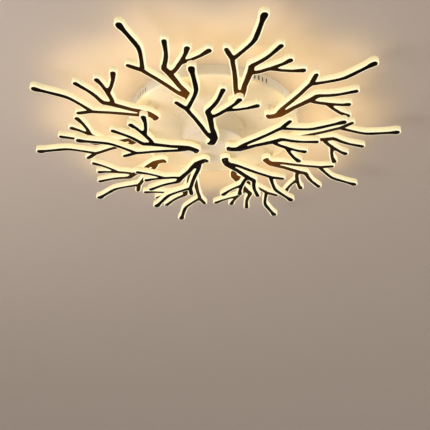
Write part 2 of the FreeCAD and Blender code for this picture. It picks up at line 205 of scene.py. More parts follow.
def nearestTip(tree, place):
    flat = tree.nodes.new("ShaderNodeVectorMath")
    flat.operation = "MULTIPLY"
    flat.inputs[1].default_value = (1, 1, 0)
    tree.links.new(place, flat.inputs[0])
    distances = []
    for tip in acrylic["tips"]:
        distance = tree.nodes.new("ShaderNodeVectorMath")
        distance.operation = "DISTANCE"
        distance.inputs[1].default_value = (*tip, 0)
        tree.links.new(flat.outputs["Vector"], distance.inputs[0])
        distances.append(distance.outputs["Value"])
    nearest = distances[0]
    for other in distances[1:]:
        nearest = calculate(tree, "MINIMUM", nearest, other)
    return nearest


def litAcrylic(name, seat):
    material, tree, shader = newMaterial(name)
    place = armPlace(tree, seat)
    split = tree.nodes.new("ShaderNodeSeparateXYZ")
    tree.links.new(place, split.inputs["Vector"])
    foot = arms["plateThickness"]
    height = remap(tree, split.outputs["Z"], 0, 1, foot, foot + arms["bodyHeight"])
    tree.links.new(blendColours(tree, height, acrylic["nearPlate"], acrylic["farEdge"]),
                   shader.inputs["Emission Color"])
    leds = tree.nodes.new("ShaderNodeTexVoronoi")
    leds.inputs["Scale"].default_value = 1 / acrylic["ledPitch"]
    leds.inputs["Randomness"].default_value = acrylic["ledJitter"]
    tree.links.new(place, leds.inputs["Vector"])
    strength = remap(tree, height, *acrylic["strength"])
    glimmer = remap(tree, leds.outputs["Distance"], 1, 1 - acrylic["ledGlimmer"], *acrylic["ledSpread"])
    # the light board stops short of the tips, and the top edge there gets least of it
    tipLight = remap(tree, nearestTip(tree, place), acrylic["tipFade"], 1,
                     acrylic["tipStart"], acrylic["tipReach"])
    lowEdge = remap(tree, height, 1, acrylic["tipFade"], 0.0, acrylic["tipHeight"])
    tipLight = calculate(tree, "MAXIMUM", tipLight, lowEdge)
    strength = calculate(tree, "MULTIPLY", calculate(tree, "MULTIPLY", strength, glimmer), tipLight)
    tree.links.new(strength, shader.inputs["Emission Strength"])
    shader.inputs["Base Color"].default_value = (*acrylic["skin"], 1)
    ripples = remap(tree, grain(tree, acrylic["ripplesPerMetre"]), *acrylic["roughness"])
    tree.links.new(ripples, shader.inputs["Roughness"])
    bump(tree, shader, grain(tree, acrylic["grainPerMetre"]), acrylic["grainStrength"],
         acrylic["grainDepth"])
    return material


whiteShell = {
    "colour": (0.84, 0.79, 0.71),
    "dust": (0.78, 0.72, 0.63),
    "dustPerMetre": 14, "dustRange": (0.45, 0.75),
    "sheenPerMetre": 40, "roughness": (0.24, 0.34),
    "peelPerMetre": 650, "peelStrength": 0.2, "peelDepth": 0.00004,
}


def whitePowderCoat():
    material, tree, shader = newMaterial("whitePowderCoat")
    settled = grain(tree, whiteShell["dustPerMetre"], detail=4)
    dust = remap(tree, settled, 0, 1, *whiteShell["dustRange"])
    coat = blendColours(tree, dust, whiteShell["colour"], whiteShell["dust"])
    tree.links.new(coat, shader.inputs["Base Color"])
    sheen = remap(tree, grain(tree, whiteShell["sheenPerMetre"], detail=3), *whiteShell["roughness"])
    tree.links.new(sheen, shader.inputs["Roughness"])
    bump(tree, shader, grain(tree, whiteShell["peelPerMetre"]), whiteShell["peelStrength"],
         whiteShell["peelDepth"])
    return material


zincSteel = {
    "colour": (0.62, 0.62, 0.60), "bright": (0.74, 0.73, 0.69),
    "spanglesPerMetre": 120, "spangleRange": (0.35, 0.65),
    "drawnPerMetre": 300, "drawnStretch": (1, 14, 1), "roughness": (0.25, 0.45),
}


def zincPlate():
    material, tree, shader = newMaterial("zincPlate")
    spangle = remap(tree, grain(tree, zincSteel["spanglesPerMetre"]), 0, 1, *zincSteel["spangleRange"])
    plated = blendColours(tree, spangle, zincSteel["colour"], zincSteel["bright"])
    tree.links.new(plated, shader.inputs["Base Color"])
    shader.inputs["Metallic"].default_value = 1.0
    drawn = grain(tree, zincSteel["drawnPerMetre"], stretch=zincSteel["drawnStretch"])
    tree.links.new(remap(tree, drawn, *zincSteel["roughness"]), shader.inputs["Roughness"])
    return material


plastics = {
    "whiteBoardMask": {
        "colour": (0.86, 0.86, 0.82), "other": (0.80, 0.80, 0.76), "roughness": (0.40, 0.52),
    },
    "driverCasePlastic": {
        "colour": (0.82, 0.82, 0.80), "other": (0.76, 0.76, 0.74), "roughness": (0.45, 0.57),
    },
    "terminalNylon": {
        "colour": (0.80, 0.77, 0.68), "other": (0.74, 0.71, 0.62), "roughness": (0.35, 0.47),
    },
    "leadSheathPlastic": {
        "colour": (0.80, 0.79, 0.75), "other": (0.74, 0.73, 0.69), "roughness": (0.50, 0.62),
    },
}
mouldTexture = {
    "tonePerMetre": 30, "sheenPerMetre": 200, "grainPerMetre": 1800,
    "caseStrength": 0.3, "sheathStrength": 0.2, "grainDepth": 0.00003,
}


def mouldedPlastic(name):
    material, tree, shader = newMaterial(name)
    look = plastics[name]
    tone = grain(tree, mouldTexture["tonePerMetre"], detail=3)
    tree.links.new(blendColours(tree, tone, look["colour"], look["other"]), shader.inputs["Base Color"])
    sheen = remap(tree, grain(tree, mouldTexture["sheenPerMetre"]), *look["roughness"])
    tree.links.new(sheen, shader.inputs["Roughness"])
    bump(tree, shader, grain(tree, mouldTexture["grainPerMetre"]), mouldTexture["caseStrength"],
         mouldTexture["grainDepth"])
    return material


supplySheath = {
    "brown": (0.19, 0.075, 0.035), "blue": (0.04, 0.15, 0.42),
    "green": (0.05, 0.26, 0.07), "yellow": (0.72, 0.56, 0.05),
    "earthReach": 0.012,        # the earth lead alone lies this near to the middle line
    "roughness": (0.40, 0.52),
}


def supplyLeadSheath():
    material, tree, shader = newMaterial("supplyLeadSheath")
    across = axisValue(tree, "Y")
    nearSide = calculate(tree, "LESS_THAN", across, -supplySheath["earthReach"])
    farSide = calculate(tree, "GREATER_THAN", across, supplySheath["earthReach"])
    stripe = calculate(tree, "GREATER_THAN", across, 0.0)
    earth = blendColours(tree, stripe, supplySheath["green"], supplySheath["yellow"])
    colour = blendColours(tree, farSide, earth, supplySheath["blue"])
    colour = blendColours(tree, nearSide, colour, supplySheath["brown"])
    tree.links.new(colour, shader.inputs["Base Color"])
    sheen = remap(tree, grain(tree, mouldTexture["sheenPerMetre"]), *supplySheath["roughness"])
    tree.links.new(sheen, shader.inputs["Roughness"])
    bump(tree, shader, grain(tree, mouldTexture["grainPerMetre"]), mouldTexture["sheathStrength"],
         mouldTexture["grainDepth"])
    return material


oxideScrew = {
    "colour": (0.050, 0.047, 0.045), "worn": (0.09, 0.08, 0.07), "wearPerMetre": 900,
    "metallic": 0.8, "roughness": 0.38,
}


def blackOxide():
    material, tree, shader = newMaterial("blackOxide")
    wear = grain(tree, oxideScrew["wearPerMetre"])
    oxide = blendColours(tree, wear, oxideScrew["colour"], oxideScrew["worn"])
    tree.links.new(oxide, shader.inputs["Base Color"])
    shader.inputs["Metallic"].default_value = oxideScrew["metallic"]
    shader.inputs["Roughness"].default_value = oxideScrew["roughness"]
    return material


finishes = {
    # the outer plates carry the painted root glow, the inner ones don't
    "outer_face": satinBlackPaint("satinBlackOuter", True),
    "inner_face": satinBlackPaint("satinBlackInner", False),
    "light_board": mouldedPlastic("whiteBoardMask"),
    "white": whitePowderCoat(),
    "zinc": zincPlate(),
    "oxide": blackOxide(),
    "driver": mouldedPlastic("driverCasePlastic"),
    "terminal": mouldedPlastic("terminalNylon"),
    "supply": supplyLeadSheath(),
    "lead": mouldedPlastic("leadSheathPlastic"),
}

# the first word found in a node's name gives its finish, and zinc takes the rest
finishOf = {
    "outer_face": "outer_face", "inner_face": "inner_face", "light_board": "light_board",
    "canopy": "white", "hub": "white", "spacers": "white", "nipple": "white",
    "side_screws": "white", "root_screws": "oxide",
    "driver": "driver", "terminal": "terminal", "supply_leads": "supply", "leads": "lead",
}

for name, node in nodes.items():
    kind = next((finishOf[key] for key in finishOf if key in name), "zinc")
    node.data.materials.clear()
    node.data.materials.append(finishes[kind])
print("finishes given to the frame's nodes")


# New pieces, modelled from primitives and laid where the frame has them

making = {
    "cutterReach": 0.001,           # how far a cutter stands out of what it cuts
    "sameSpot": 0.00001,            # points nearer than this count as one
    "facingUp": 0.9,                # least upright part of an upper face's normal
    "flatAngle": 0.5, "smoothAngle": 30,        # degrees
}


def cleanSelection():
    if bpy.context.object and bpy.context.object.mode != "OBJECT":
        bpy.ops.object.mode_set(mode="OBJECT")
    bpy.ops.object.select_all(action="DESELECT")


def onlySelect(piece):
    cleanSelection()
    piece.select_set(True)
    bpy.context.view_layer.objects.active = piece


def addRod(name, radius, bottom, top, sides=48, x=0.0, y=0.0):
    cleanSelection()
    bpy.ops.mesh.primitive_cylinder_add(vertices=sides, radius=radius, depth=top - bottom,
                                        location=(x, y, (bottom + top) / 2))
    bpy.context.object.name = name
    bpy.ops.object.transform_apply(location=True, rotation=True, scale=True)
    return bpy.context.object


def addBlock(name, size, middle):
    cleanSelection()
    bpy.ops.mesh.primitive_cube_add(size=1, location=middle)
    block = bpy.context.object
    block.name = name
    block.scale = size
    bpy.ops.object.transform_apply(location=True, rotation=True, scale=True)
    return block


def pickNone(piece, kind):
    onlySelect(piece)
    bpy.ops.object.mode_set(mode="EDIT")
    bpy.ops.mesh.select_mode(type=kind)
    bpy.ops.mesh.select_all(action="DESELECT")
    bpy.ops.object.mode_set(mode="OBJECT")


def pickFaces(piece, test):
    pickNone(piece, "FACE")
    for face in piece.data.polygons:
        face.select = test(face.center, face.normal)
    bpy.ops.object.mode_set(mode="EDIT")


def pickEdges(piece, test):
    pickNone(piece, "EDGE")
    points = piece.data.vertices
    for edge in piece.data.edges:
        first, last = (points[index].co for index in edge.vertices)
        edge.select = test(first, last)
    bpy.ops.object.mode_set(mode="EDIT")


def applyModifier(piece, kind, **settings):
    onlySelect(piece)
    modifier = piece.modifiers.new(kind.lower(), kind)
    for key, value in settings.items():
        setattr(modifier, key, value)
    bpy.ops.object.modifier_apply(modifier=modifier.name)


def carve(piece, cutter, operation="DIFFERENCE"):
    applyModifier(piece, "BOOLEAN", operation=operation, object=cutter, solver="MANIFOLD")
    bpy.data.objects.remove(cutter)


def moveTo(piece, place):
    onlySelect(piece)
    bpy.ops.transform.translate(value=place)
    bpy.ops.object.transform_apply(location=True, rotation=True, scale=True)


def softEdges(piece, width, segments=2, angle=30):
    applyModifier(piece, "BEVEL", width=width, segments=segments, limit_method="ANGLE",
                  angle_limit=math.radians(angle), harden_normals=False)


def editAll(piece):
    onlySelect(piece)
    bpy.ops.object.mode_set(mode="EDIT")
    bpy.ops.mesh.select_all(action="SELECT")


def cleanFaces(piece):
    editAll(piece)
    bpy.ops.mesh.remove_doubles(threshold=making["sameSpot"])
    bpy.ops.mesh.dissolve_limited(angle_limit=math.radians(making["flatAngle"]))
    bpy.ops.object.mode_set(mode="OBJECT")


def mergeSlivers(piece):
    editAll(piece)
    bpy.ops.mesh.remove_doubles(threshold=making["sameSpot"])
    bpy.ops.mesh.dissolve_degenerate(threshold=making["sameSpot"])
    bpy.ops.object.mode_set(mode="OBJECT")


def finishShape(piece):
    onlySelect(piece)
    bpy.ops.object.shade_smooth_by_angle(angle=math.radians(making["smoothAngle"]))


def copyTo(piece, name, place, turn):
    copy = piece.copy()
    copy.data = piece.data.copy()
    copy.name = name
    scene.collection.objects.link(copy)
    copy.matrix_world = Matrix.Translation(place) @ turn.to_4x4()
    onlySelect(copy)
    bpy.ops.object.transform_apply(location=True, rotation=True, scale=True)
    return copy


def joinAll(copies, name):
    cleanSelection()
    for copy in copies:
        copy.select_set(True)
    bpy.context.view_layer.objects.active = copies[0]
    bpy.ops.object.join()
    joined = bpy.context.object
    joined.name = name
    return joined


def standFor(piece, node, material):
    piece.data.materials.clear()
    piece.data.materials.append(material)
    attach(piece, "root")
    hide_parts(node)


# Softened copies of the frame's flat parts: same outline, edges broken as after moulding or painting

softened = {
    "face_plate": {"edge": 0.0003, "slot": "black_plate"},
    "acrylic_body": {"edge": 0.0006, "slot": "lit_acrylic"},
    "edgeSteps": 2, "sharpAngle": 35,
}


def softenedCopy(node, kind, material):
    copy = nodes[node].copy()
    copy.data = nodes[node].data.copy()
    copy.name = node + "_soft"
    scene.collection.objects.link(copy)
    cleanFaces(copy)
    softEdges(copy, softened[kind]["edge"], softened["edgeSteps"], softened["sharpAngle"])
    finishShape(copy)
    standFor(copy, node, material)


for tier in ("outer", "inner"):
    for number, seat in enumerate(armSeats(tier), start=1):
        acrylicFinish = litAcrylic("litAcrylic_%s%02d" % (tier, number), seat)
        softenedCopy("%s_acrylic_body_%02d" % (tier, number), "acrylic_body", acrylicFinish)
        softenedCopy("%s_face_plate_%02d" % (tier, number), "face_plate", finishes[tier + "_face"])
print("arms' plates and bodies softened")


# Screws, nuts and nipples

canopy = {"radius": 0.242, "floor": -0.0338, "sheet": 0.0012}
hub = {"underside": -0.095, "screwRing": 0.081, "screws": 4, "firstAngle": 45}
screw = {
    "headRadius": 0.0036, "headHeight": 0.0022, "headRounding": 0.0006, "shankRadius": 0.002,
    "hexRadius": 0.0014, "hexDepth": 0.0012,
    "crossLength": 0.0036, "crossWidth": 0.0008, "crossDepth": 0.0013,
    "threadPitch": 0.0007, "threadWaist": 0.84, "threadTurns": 5,
    "tipLength": 0.0003, "tipTaper": 0.8, "tail": 0.0015,
}


def pushOut(distance):
    bpy.ops.mesh.extrude_region_move(TRANSFORM_OT_translate={"value": (0, 0, distance)})


def widen(factor):
    bpy.ops.transform.resize(value=(factor, factor, 1))


def threadUp(turns, pitch, waist):
    for step in range(turns):
        pushOut(pitch / 2)
        widen(waist)
        pushOut(pitch / 2)
        widen(1 / waist)


def plainScrew(name, shankLength):
    body = addRod(name, screw["headRadius"], -screw["headHeight"], 0)
    headTop = -screw["headHeight"] + making["sameSpot"]
    pickEdges(body, lambda a, b: max(a.z, b.z) < headTop)
    bpy.ops.mesh.bevel(offset=screw["headRounding"], segments=3)
    pickFaces(body, lambda middle, normal: normal.z > making["facingUp"])
    bpy.ops.mesh.inset(thickness=screw["headRadius"] - screw["shankRadius"])
    threadLength = screw["threadTurns"] * screw["threadPitch"]
    pushOut(shankLength - threadLength - screw["tipLength"])
    threadUp(screw["threadTurns"], screw["threadPitch"], screw["threadWaist"])
    pushOut(screw["tipLength"])
    widen(screw["tipTaper"])
    bpy.ops.object.mode_set(mode="OBJECT")
    return body


def hexScrew(name, shankLength):
    body = plainScrew(name, shankLength)
    low = -screw["headHeight"]
    outside = low - making["cutterReach"]
    carve(body, addRod("hexCutter", screw["hexRadius"], outside, low + screw["hexDepth"], sides=6))
    finishShape(body)
    return body


def crossScrew(name, shankLength):
    body = plainScrew(name, shankLength)
    low = -screw["headHeight"]
    for size in ((screw["crossLength"], screw["crossWidth"]), (screw["crossWidth"], screw["crossLength"])):
        carve(body, addBlock("crossCutter", (*size, 2 * screw["crossDepth"]), (0, 0, low)))
    finishShape(body)
    return body


nutShape = {
    "cornerShare": 0.13, "mouthShare": 0.07,        # of the nut's height
    "mouthReach": 1.02, "boreSides": 32,
}


def hexNut(name, acrossFlats, height, bore):
    corner = acrossFlats / 2 / math.cos(math.pi / 6)
    body = addRod(name, corner, 0, height, sides=6)
    turned = addRod("cornerTurning", corner, 0, height, sides=64)
    softEdges(turned, height * nutShape["cornerShare"])
    carve(body, turned, "INTERSECT")
    reach = making["cutterReach"]
    carve(body, addRod("boreCutter", bore, -reach, height + reach, nutShape["boreSides"]))
    mouth = bore * nutShape["mouthReach"]
    pickEdges(body, lambda a, b: max(math.hypot(a.x, a.y), math.hypot(b.x, b.y)) < mouth
              and abs(a.z - b.z) < making["sameSpot"])
    bpy.ops.mesh.bevel(offset=height * nutShape["mouthShare"], segments=1)
    bpy.ops.object.mode_set(mode="OBJECT")
    finishShape(body)
    return body


nipple = {
    "x": 0.029, "y": 0.007, "radius": 0.004, "bore": 0.0026, "pitch": 0.001, "waist": 0.9,
    "topPastNut": 0.002, "nutHeight": 0.004, "nutAcrossFlats": 0.013, "nutPlay": 0.0001,
    "windowWidth": 0.003, "windowHeight": 0.0042, "sides": 28,
}
rootNut = {"acrossFlats": 0.007, "height": 0.0032, "bore": 0.0021}


def hollowNipple(name, length):
    cleanSelection()
    bpy.ops.mesh.primitive_circle_add(vertices=nipple["sides"], radius=nipple["radius"])
    body = bpy.context.object
    body.name = name
    bpy.ops.object.mode_set(mode="EDIT")
    bpy.ops.mesh.select_mode(type="EDGE")
    bpy.ops.mesh.select_all(action="SELECT")
    turns = int(length / nipple["pitch"])
    pushOut(length - turns * nipple["pitch"])
    threadUp(turns, nipple["pitch"], nipple["waist"])
    pushOut(0)
    widen(nipple["bore"] / nipple["radius"])
    pushOut(-length)
    bpy.ops.object.mode_set(mode="OBJECT")
    pickEdges(body, lambda a, b: max(abs(a.z), abs(b.z)) < making["sameSpot"])
    bpy.ops.mesh.bridge_edge_loops()
    bpy.ops.mesh.select_all(action="SELECT")
    bpy.ops.mesh.normals_make_consistent(inside=False)
    bpy.ops.object.mode_set(mode="OBJECT")
    windowSize = (2 * nipple["radius"], nipple["windowWidth"], nipple["windowHeight"])
    carve(body, addBlock("windowCutter", windowSize, (nipple["radius"], 0, nipple["windowHeight"] / 2)))
    finishShape(body)
    return body


def carrierFloor(tier):
    return canopy["floor"] if tier == "outer" else hub["underside"] + canopy["sheet"]


def atSeats(shape, tier, name, offset=(0, 0), z=0.0):
    copies = []
    for number, (root, turn) in enumerate(armSeats(tier), start=1):
        spin = Matrix.Rotation(turn, 3, "Z")
        place = root + spin @ Vector((*offset, 0))
        place.z = z
        copies.append(copyTo(shape, "%s_%s%02d" % (name, tier, number), place, spin))
    bpy.data.objects.remove(shape)
    return copies


rootScrews, rootNuts, nipples, lockNuts = [], [], [], []
for tier in ("outer", "inner"):
    level = arms[tier]["level"]
    floorLevel = carrierFloor(tier)
    screwLength = floorLevel + rootNut["height"] + screw["tail"] - level
    rootScrews += atSeats(hexScrew("rootScrew", screwLength), tier, "rootScrew", z=level)
    nut = hexNut("rootNut", rootNut["acrossFlats"], rootNut["height"], rootNut["bore"])
    rootNuts += atSeats(nut, tier, "rootNut", z=floorLevel)
    spot = (nipple["x"], nipple["y"])
    foot = level + arms["plateThickness"]
    nippleLength = floorLevel + nipple["nutHeight"] + nipple["topPastNut"] - foot
    nipples += atSeats(hollowNipple("armNipple", nippleLength), tier, "armNipple", spot, foot)
    for z in (floorLevel, floorLevel - canopy["sheet"] - nipple["nutHeight"]):
        nut = hexNut("lockNut", nipple["nutAcrossFlats"], nipple["nutHeight"],
                     nipple["radius"] + nipple["nutPlay"])
        lockNuts += atSeats(nut, tier, "lockNut", spot, z)
standFor(joinAll(rootScrews, "rootScrews"), "arm_root_screws", finishes["oxide"])
standFor(joinAll(rootNuts, "rootNuts"), "arm_root_nuts", finishes["zinc"])
standFor(joinAll(nipples, "armNipples"), "arm_nipples", finishes["white"])
standFor(joinAll(lockNuts, "lockNuts"), "nipple_locknuts", finishes["white"])
print("arm fixings made")


# Screws inside the canopy and through its wall

driver = {
    "length": 0.170, "width": 0.046, "height": 0.024, "offset": 0.08498,
    "cornerRadius": 0.003, "cornerSteps": 5, "lidEdge": 0.0012,
    "seamHeight": 0.0155, "seamDepth": 0.0007, "seamGap": 0.0008,
    "labelInset": 0.0015, "labelDepth": 0.0004,      # wider would fold the rounded corners over
    "vents": 6, "ventStart": 0.014, "ventPitch": 0.0045,
    "ventWidth": 0.0018, "ventLength": 0.024, "ventDepth": 0.002,
    "tabLength": 0.012, "tabWidth": 0.023, "tabThickness": 0.002,
    "tabOverlap": 0.004, "tabCorner": 0.004, "tabHole": 0.0023, "tabHoleSides": 32,
    "supplySpot": 0.058, "supplyHeight": 0.007,
    "grommetRadius": 0.0026, "grommetHeight": 0.0008, "grommetEdge": 0.0003, "grommetSides": 32,
}
chassis = {
    "shank": 0.004, "earthSpot": (0.091, 0),
    "sideShank": 0.009, "sideDrop": -0.017,
    "turnStep": 37, "sideTurn": 25,             # degrees that the crosses are turned
}


def chassisScrews():
    shape = crossScrew("chassisScrew", chassis["shank"])
    spots = []
    for number in range(hub["screws"]):
        angle = math.radians(hub["firstAngle"] + 360 / hub["screws"] * number)
        spots.append((hub["screwRing"] * math.cos(angle), hub["screwRing"] * math.sin(angle), 0))
    spots.append((*chassis["earthSpot"], 0))
    tabSpot = driver["length"] / 2 + driver["tabLength"] / 2
    for sideX in (-1, 1):
        for sideY in (-1, 1):
            spots.append((sideX * tabSpot, sideY * driver["offset"], driver["tabThickness"]))
    upsideDown = Matrix.Rotation(math.pi, 3, "X")
    copies = []
    for number, (x, y, rise) in enumerate(spots):
        spin = Matrix.Rotation(math.radians(chassis["turnStep"] * number), 3, "Z") @ upsideDown
        place = Vector((x, y, canopy["floor"] + rise))
        copies.append(copyTo(shape, "chassisScrew%02d" % number, place, spin))
    bpy.data.objects.remove(shape)
    standFor(joinAll(copies, "chassisScrews"), "chassis_screws", finishes["zinc"])


def sideScrews():
    shape = crossScrew("sideScrew", chassis["sideShank"])
    copies = []
    crossTurn = Matrix.Rotation(math.radians(chassis["sideTurn"]), 3, "Z")
    for side, number in ((1, 1), (-1, 2)):
        spin = Matrix.Rotation(-side * math.pi / 2, 3, "Y") @ crossTurn
        place = Vector((side * canopy["radius"], 0, chassis["sideDrop"]))
        copies.append(copyTo(shape, "sideScrew%02d" % number, place, spin))
    bpy.data.objects.remove(shape)
    standFor(joinAll(copies, "sideScrews"), "bracket_side_screws", finishes["white"])


chassisScrews()
sideScrews()
print("canopy screws made")


# Drivers: a case with a lid, vents, a blank label and screw tabs


def squeeze(inset, length, width):
    bpy.ops.transform.resize(value=((length - 2 * inset) / length, (width - 2 * inset) / width, 1))


def driverCase(name):
    length, width = driver["length"], driver["width"]
    lidBottom = driver["seamHeight"] + driver["seamGap"]
    case = addBlock(name, (length, width, driver["seamHeight"]), (0, 0, driver["seamHeight"] / 2))
    pickEdges(case, lambda a, b: abs(a.z - b.z) > driver["seamHeight"] / 2)
    bpy.ops.mesh.bevel(offset=driver["cornerRadius"], segments=driver["cornerSteps"])
    pickFaces(case, lambda middle, normal: normal.z > making["facingUp"])
    bpy.ops.mesh.inset(thickness=driver["seamDepth"])
    pushOut(driver["seamGap"])
    pushOut(0)
    squeeze(-driver["seamDepth"], length - 2 * driver["seamDepth"], width - 2 * driver["seamDepth"])
    pushOut(driver["height"] - lidBottom - driver["lidEdge"])
    pushOut(driver["lidEdge"])
    squeeze(driver["lidEdge"], length, width)
    bpy.ops.object.mode_set(mode="OBJECT")
    nearTop = driver["height"] - driver["lidEdge"] / 2
    pickFaces(case, lambda middle, normal: normal.z > making["facingUp"] and middle.z > nearTop)
    bpy.ops.mesh.inset(thickness=driver["labelInset"])
    pushOut(-driver["labelDepth"])
    bpy.ops.object.mode_set(mode="OBJECT")
    ventSize = (driver["ventWidth"], driver["ventLength"], 2 * driver["ventDepth"])
    for end in (-1, 1):
        for row in range(driver["vents"]):
            x = end * (length / 2 - driver["ventStart"] - driver["ventPitch"] * row)
            carve(case, addBlock("ventCutter", ventSize, (x, 0, driver["height"])))
    for end in (-1, 1):
        carve(case, driverTab(end), "UNION")
    return case


def driverTab(end):
    thickness, overlap = driver["tabThickness"], driver["tabOverlap"]
    middle = end * (driver["length"] / 2 + driver["tabLength"] / 2 - overlap / 2)
    tab = addBlock("tab", (driver["tabLength"] + overlap, driver["tabWidth"], thickness),
                   (middle, 0, thickness / 2))
    tip = end * (driver["length"] / 2 + driver["tabLength"])
    pickEdges(tab, lambda a, b: abs(a.z - b.z) > thickness / 2 and abs(a.x - tip) < making["sameSpot"])
    bpy.ops.mesh.bevel(offset=driver["tabCorner"], segments=driver["cornerSteps"])
    bpy.ops.object.mode_set(mode="OBJECT")
    hole = end * (driver["length"] / 2 + driver["tabLength"] / 2)
    carve(tab, addRod("tabHole", driver["tabHole"], -making["cutterReach"], 2 * thickness,
                      driver["tabHoleSides"], hole))
    return tab


def finishedDriver(node, side):
    case = driverCase(node + "_case")
    grommet = addRod("grommet", driver["grommetRadius"], 0, driver["grommetHeight"], driver["grommetSides"])
    softEdges(grommet, driver["grommetEdge"])
    standing = Matrix.Rotation(side * math.pi / 2, 3, "X")
    wall = Vector((driver["supplySpot"], -side * driver["width"] / 2, driver["supplyHeight"]))
    ring = copyTo(grommet, "supplyGrommet", wall, standing)
    bpy.data.objects.remove(grommet)
    carve(case, ring, "UNION")
    mergeSlivers(case)
    finishShape(case)
    moveTo(case, (0, side * driver["offset"], canopy["floor"]))
    standFor(case, node, finishes["driver"])


finishedDriver("driver_near", -1)
finishedDriver("driver_far", 1)
print("drivers made")


# Terminal block: three poles with barriers, wells, clamp screws and wire entries

terminal = {
    "x": 0.058, "width": 0.018, "length": 0.036, "height": 0.014, "poles": 3,
    "caseEdge": 0.0008, "fineEdge": 0.0002, "fineAngle": 50,
    "barrierGap": 0.0014, "barrierDepth": 0.006,
    "wellRadius": 0.0025, "wellDepth": 0.004, "wellSides": 32,
    "entryRadius": 0.0019, "entryDepth": 0.004, "entryHeight": 0.007, "entrySides": 24,
    "clampRadius": 0.0021, "clampHeight": 0.0016, "clampEdge": 0.0003,
    "slotWidth": 0.0006, "slotLength": 0.006, "slotDepth": 0.0006,
    "firstTurn": 20, "turnStep": 55,            # degrees that the slots are turned
}


def poleSpots():
    pitch = terminal["length"] / terminal["poles"]
    return [(pole - (terminal["poles"] - 1) / 2) * pitch for pole in range(terminal["poles"])]


def terminalBlock():
    width, length, height = terminal["width"], terminal["length"], terminal["height"]
    block = addBlock("terminalCase", (width, length, height), (0, 0, height / 2))
    softEdges(block, terminal["caseEdge"], 3)
    reach = making["cutterReach"]
    barrierSize = (width + 2 * reach, terminal["barrierGap"], 2 * terminal["barrierDepth"])
    for gap in range(1, terminal["poles"]):
        y = -length / 2 + gap * length / terminal["poles"]
        carve(block, addBlock("barrierCutter", barrierSize, (0, y, height)))
    wellFloor = height - terminal["wellDepth"]
    for y in poleSpots():
        carve(block, addRod("wellCutter", terminal["wellRadius"], wellFloor, height + reach,
                            terminal["wellSides"], 0, y))
        carve(block, entryCutter((-width / 2, y), "Y"))
        carve(block, entryCutter((width / 2, y), "Y"))
    carve(block, entryCutter((0, -length / 2), "X"))
    carve(block, entryCutter((0, length / 2), "X"))
    softEdges(block, terminal["fineEdge"], 1, terminal["fineAngle"])
    finishShape(block)
    moveTo(block, (terminal["x"], 0, canopy["floor"]))
    standFor(block, "terminal_block", finishes["terminal"])


def entryCutter(spot, axis):
    depth = terminal["entryDepth"]
    rod = addRod("entryRod", terminal["entryRadius"], -depth, depth, terminal["entrySides"])
    place = Vector((*spot, terminal["entryHeight"]))
    cutter = copyTo(rod, "entryCutter", place, Matrix.Rotation(math.pi / 2, 3, axis))
    bpy.data.objects.remove(rod)
    return cutter


def clampScrews():
    bottom = terminal["height"] - terminal["wellDepth"]
    top = bottom + terminal["clampHeight"]
    shape = addRod("clampScrew", terminal["clampRadius"], bottom, top, terminal["wellSides"])
    softEdges(shape, terminal["clampEdge"])
    slotSize = (terminal["slotWidth"], terminal["slotLength"], 2 * terminal["slotDepth"])
    carve(shape, addBlock("slotCutter", slotSize, (0, 0, top)))
    finishShape(shape)
    copies = []
    for pole, y in enumerate(poleSpots()):
        angle = terminal["firstTurn"] + terminal["turnStep"] * pole
        spin = Matrix.Rotation(math.radians(angle), 3, "Z")
        place = Vector((terminal["x"], y, canopy["floor"]))
        copies.append(copyTo(shape, "clampScrew%d" % pole, place, spin))
    bpy.data.objects.remove(shape)
    joined = joinAll(copies, "clampScrews")
    joined.data.materials.clear()
    joined.data.materials.append(finishes["zinc"])
    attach(joined, "root")


terminalBlock()
clampScrews()
print("terminal block made")


# Stage: ceiling that shows only from below, a dark disc of painted shade inside the canopy, and a pale
# floor far under it

stage = {
    "ceilingColour": (0.60, 0.53, 0.49),
    "floorColour": (0.57, 0.535, 0.50),
    "ceilingGap": 0.0006,
    "paintedShadeColour": (0.035, 0.022, 0.014),     # painted shade: a dark disc for the unlit ceiling inside the canopy, seen through the vents
    "voidRadius": 0.2405, "voidGap": 0.0003, "voidSides": 128,
    "roughness": 0.9, "gloss": 0.1,
    "roomColour": (0.92, 0.88, 0.84), "roomLight": 0.17, "backdropLevel": 0.62,
    "floorDrop": 2.7,
    "halfWidth": 14.0,
}


def stagePiece(name, material):
    piece = bpy.context.object
    piece.name = name
    bpy.ops.object.transform_apply(location=True, rotation=True, scale=True)
    piece.data.materials.append(material)
    return piece


def stagePlane(name, z, turn, material):
    cleanSelection()
    bpy.ops.mesh.primitive_plane_add(size=2 * stage["halfWidth"], location=(0, 0, z), rotation=(turn, 0, 0))
    return stagePiece(name, material)


def stageShadeDisc(name, z, turn, material):
    cleanSelection()
    bpy.ops.mesh.primitive_circle_add(vertices=stage["voidSides"], radius=stage["voidRadius"],
                                      fill_type="NGON", location=(0, 0, z), rotation=(turn, 0, 0))
    return stagePiece(name, material)


def plainPaint(name, colour):
    material, tree, shader = newMaterial(name)
    shader.inputs["Base Color"].default_value = (*colour, 1)
    shader.inputs["Roughness"].default_value = stage["roughness"]
    shader.inputs["Specular IOR Level"].default_value = stage["gloss"]
    return material, tree, shader


def oneSidedPaint(name, colour):
    material, tree, shader = plainPaint(name, colour)
    facing = tree.nodes.new("ShaderNodeNewGeometry")
    path = tree.nodes.new("ShaderNodeLightPath")
    front = calculate(tree, "SUBTRACT", path.outputs["Is Camera Ray"], facing.outputs["Backfacing"])
    clear = tree.nodes.new("ShaderNodeBsdfTransparent")
    mix = tree.nodes.new("ShaderNodeMixShader")
    tree.links.new(front, mix.inputs[0])
    tree.links.new(clear.outputs[0], mix.inputs[1])
    tree.links.new(shader.outputs[0], mix.inputs[2])
    tree.links.new(mix.outputs[0], tree.nodes["Material Output"].inputs["Surface"])
    return material


